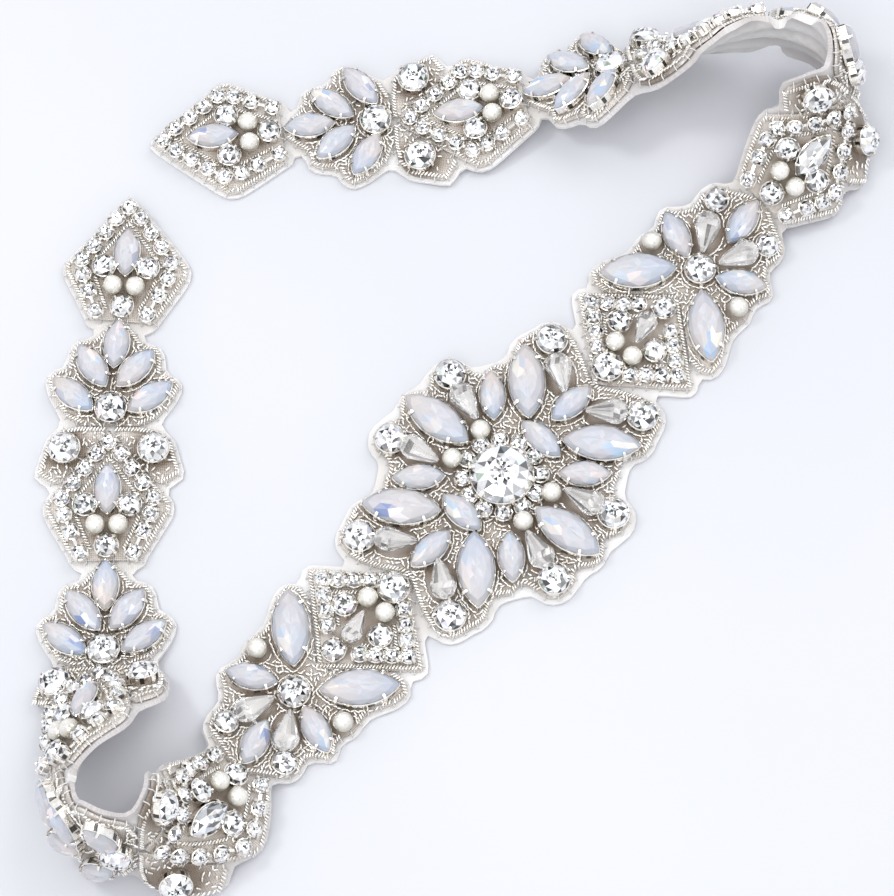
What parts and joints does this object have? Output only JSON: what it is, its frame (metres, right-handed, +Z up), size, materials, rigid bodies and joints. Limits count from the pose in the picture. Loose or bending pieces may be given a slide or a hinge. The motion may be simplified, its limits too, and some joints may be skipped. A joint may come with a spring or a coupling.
{
  "type": "bridal sash",
  "caption": "Beaded bridal sash: a narrow rhinestone and opal applique belt laid face up in a Z, its two bends standing on edge.",
  "frame": {"origin": "centre of the belt's bounding box on the surface it lies on", "axes": "+Z up out of the surface it lies on, +Y along the left arm of the Z, away from its bottom bend, +X along the right arm towards its top bend"},
  "size_m": [0.1656, 0.1784, 0.0282],
  "materials": {
    "backing_cloth": "pale satin and felt backing, soft sheen",
    "jewelled_ground": "greige organza ground under stones and beads",
    "opal_stone": "milky opal glass, faceted",
    "clear_stone": "foil-backed clear rhinestone, faceted",
    "silver_metal": "bright silver plated claws, cups and cup chain",
    "pearl": "ivory simulated pearl",
    "clear_bead": "clear faceted drop beads",
    "seed_bead": "silver-lined seed beads and bugle rope"
  },
  "bodies": {
    "root": {"applique_left_diamond_1": "jewelled_ground", "applique_left_diamond_2": "jewelled_ground", "applique_left_diamond_3": "jewelled_ground", "applique_left_diamond_4": "jewelled_ground", "applique_left_ear_1_in": "jewelled_ground", "applique_left_ear_1_out": "jewelled_ground", "applique_left_ear_2_in": "jewelled_ground", "applique_left_ear_2_out": "jewelled_ground", "applique_left_ear_3_in": "jewelled_ground", "applique_left_ear_3_out": "jewelled_ground", "applique_left_flower": "jewelled_ground", "applique_left_spray_1": "jewelled_ground", "applique_left_spray_2": "jewelled_ground", "applique_left_spray_3": "jewelled_ground", "applique_left_square": "jewelled_ground", "applique_medallion": "jewelled_ground", "applique_right_diamond_1": "jewelled_ground", "applique_right_diamond_2": "jewelled_ground", "applique_right_diamond_3": "jewelled_ground", "applique_right_diamond_4": "jewelled_ground", "applique_right_ear_1_in": "jewelled_ground", "applique_right_ear_1_out": "jewelled_ground", "applique_right_ear_2_in": "jewelled_ground", "applique_right_ear_2_out": "jewelled_ground", "applique_right_ear_3_in": "jewelled_ground", "applique_right_ear_3_out": "jewelled_ground", "applique_right_flower": "jewelled_ground", "applique_right_spray_1": "jewelled_ground", "applique_right_spray_2": "jewelled_ground", "applique_right_spray_3": "jewelled_ground", "applique_right_square": "jewelled_ground", "backing_left_1": "backing_cloth", "backing_left_2": "backing_cloth", "backing_left_3": "backing_cloth", "backing_left_4": "backing_cloth", "backing_left_run": "backing_cloth", "backing_middle": "backing_cloth", "backing_right_1": "backing_cloth", "backing_right_2": "backing_cloth", "backing_right_3": "backing_cloth", "backing_right_4": "backing_cloth", "backing_right_run": "backing_cloth"}
  },
  "joints": []
}
